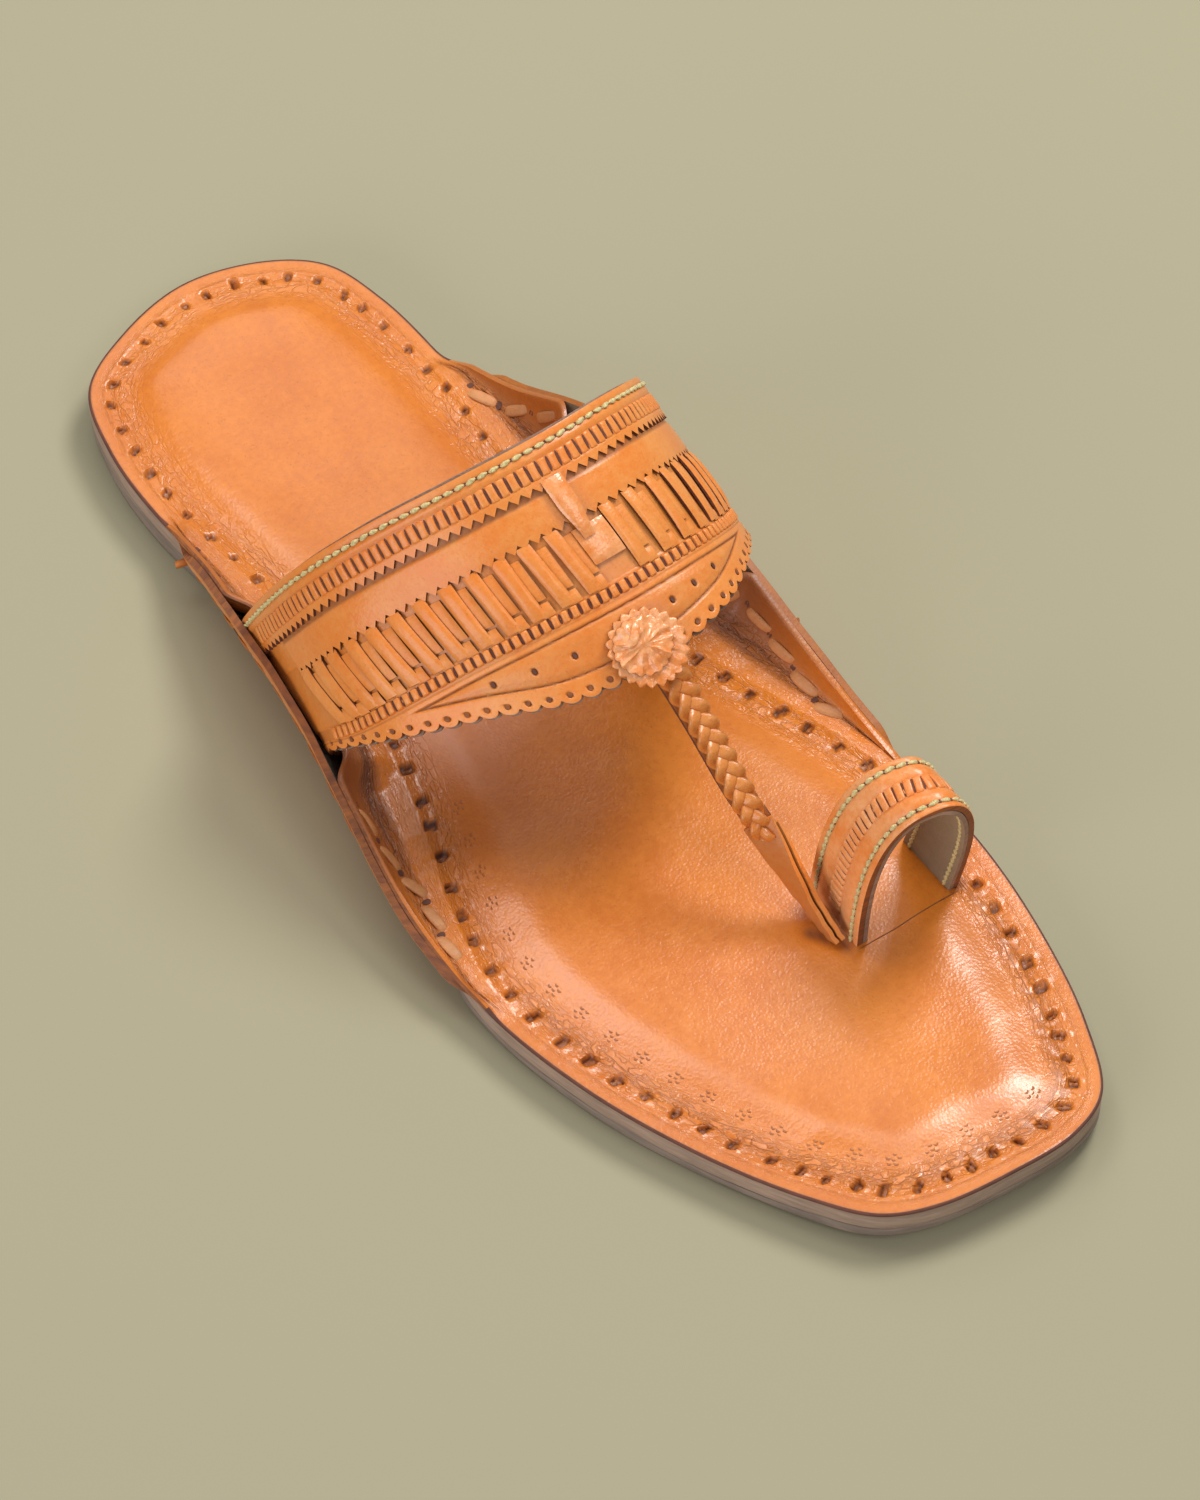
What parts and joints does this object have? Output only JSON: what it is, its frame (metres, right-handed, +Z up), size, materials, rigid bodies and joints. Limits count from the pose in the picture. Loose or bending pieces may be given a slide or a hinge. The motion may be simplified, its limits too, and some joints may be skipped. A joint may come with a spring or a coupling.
{
  "type": "leather toe-loop sandal",
  "caption": "Flat tan leather mule sandal: scalloped instep band held by side ears, braided thong, stitched toe loop and rosette.",
  "frame": {"origin": "on the floor under the middle of the sandal's bounding box", "axes": "+Y towards the heel, -Y towards the toe, +X towards the big-toe side, +Z up from the floor"},
  "size_m": [0.1068, 0.2752, 0.0879],
  "materials": {
    "bottom_leather": "matt grey-brown bottom leather",
    "edge_leather": "raw cut leather edge, matt",
    "footbed_leather": "vegetable-tanned tan leather, polished",
    "strap_leather": "vegetable-tanned tan leather, satin",
    "lining_leather": "greyish suede back of the straps",
    "thread": "pale yellow waxed sewing thread"
  },
  "bodies": {
    "root": {"outsole": "bottom_leather", "midsole": "edge_leather", "insole": "footbed_leather", "ear_lateral": "strap_leather", "ear_medial": "strap_leather", "upper": "strap_leather", "toe_loop": "strap_leather", "rosette": "strap_leather"}
  },
  "joints": []
}
